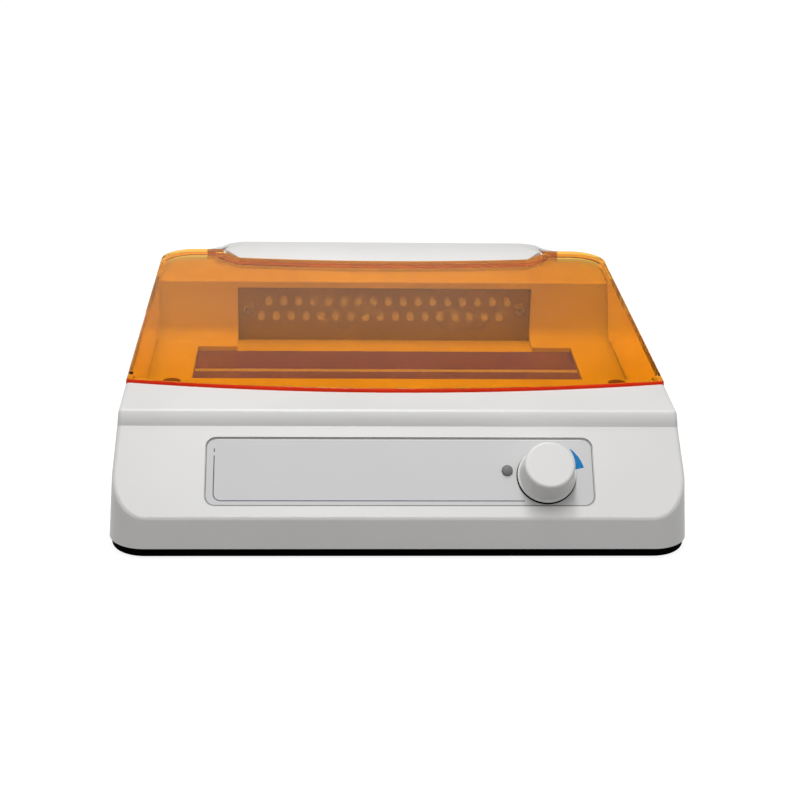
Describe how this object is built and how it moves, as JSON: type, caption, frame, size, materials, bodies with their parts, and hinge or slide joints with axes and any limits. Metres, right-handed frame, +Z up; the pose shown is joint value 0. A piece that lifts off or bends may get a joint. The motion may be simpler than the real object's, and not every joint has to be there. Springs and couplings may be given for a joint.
{
  "type": "blue light transilluminator",
  "caption": "White bench instrument with a blue filter plate and rear lamps under a deep hinged amber cover, and a sloping control panel with a knob.",
  "frame": {"origin": "on the table, under the middle of the housing's foot print", "axes": "+Z up, -Y towards the user and the control panel, +X to the user's right"},
  "size_m": [0.309, 0.3459, 0.0744],
  "materials": {
    "white_plastic": "satin",
    "black_plastic": "matt",
    "amber_acrylic": "clear, polished",
    "blue_filter_glass": "clear, polished",
    "clear_glass": "clear, polished",
    "diffuser_plastic": "matt",
    "black_rubber": "matt",
    "white_rubber": "matt",
    "steel": "plated",
    "slick_plastic": "matt",
    "aluminium": "bare",
    "circuit_board": "matt white solder mask",
    "green_board": "satin",
    "lamp_epoxy": "clear epoxy",
    "components": "satin",
    "label_film": "gloss",
    "grey_lens": "satin"
  },
  "bodies": {
    "bench": {"upper_housing": "white_plastic", "base_tray": "black_plastic", "rubber_feet": "black_rubber", "base_screws": "steel", "console_pillars": "aluminium", "console_screws": "steel", "shelf_plugs": "white_rubber", "hinge_cover": "white_plastic", "cover_screws": "steel", "hinge_brackets": "white_plastic", "bracket_screws": "steel", "hinge_pins": "steel", "hinge_washers": "slick_plastic", "plate_gasket": "black_rubber", "light_diffuser": "diffuser_plastic", "blue_filter_plate": "blue_filter_glass", "cutting_glass": "clear_glass", "heat_spreader_plate": "aluminium", "deck_light_board": "circuit_board", "deck_lamps": "lamp_epoxy", "board_screws": "steel", "lamp_window": "blue_filter_glass", "lamp_board": "circuit_board", "rear_lamps": "lamp_epoxy", "window_spacers": "diffuser_plastic", "window_screws": "steel", "lamp_board_screws": "steel", "control_label": "label_film", "indicator_lens": "grey_lens", "indicator_lamp": "grey_lens", "potentiometer": "components", "pot_nut": "steel", "driver_board": "green_board", "driver_components": "components", "driver_screws": "steel", "power_inlet": "black_plastic", "inlet_nut": "steel", "power_switch": "black_plastic"},
    "cover": {"amber_lid": "amber_acrylic"},
    "knob": {"brightness_knob": "white_plastic", "pot_shaft": "steel"},
    "rocker": {"power_rocker": "black_plastic"}
  },
  "joints": [
    {"name": "cover_hinge", "type": "hinge", "parent": "bench", "child": "cover", "pos_m": [0, 0.1559, 0.0673], "axis": [-1, 0, 0], "range_deg": [0, 100]},
    {"name": "knob_turn", "type": "hinge", "parent": "bench", "child": "knob", "pos_m": [0.0778, -0.15356, 0.04041], "axis": [0, 0.6947, -0.7193], "range_deg": [-150, 150]},
    {"name": "rocker_tilt", "type": "hinge", "parent": "bench", "child": "rocker", "pos_m": [-0.052, 0.16552, 0.03], "axis": [0, 0, 1], "range_deg": [0, 18]}
  ]
}
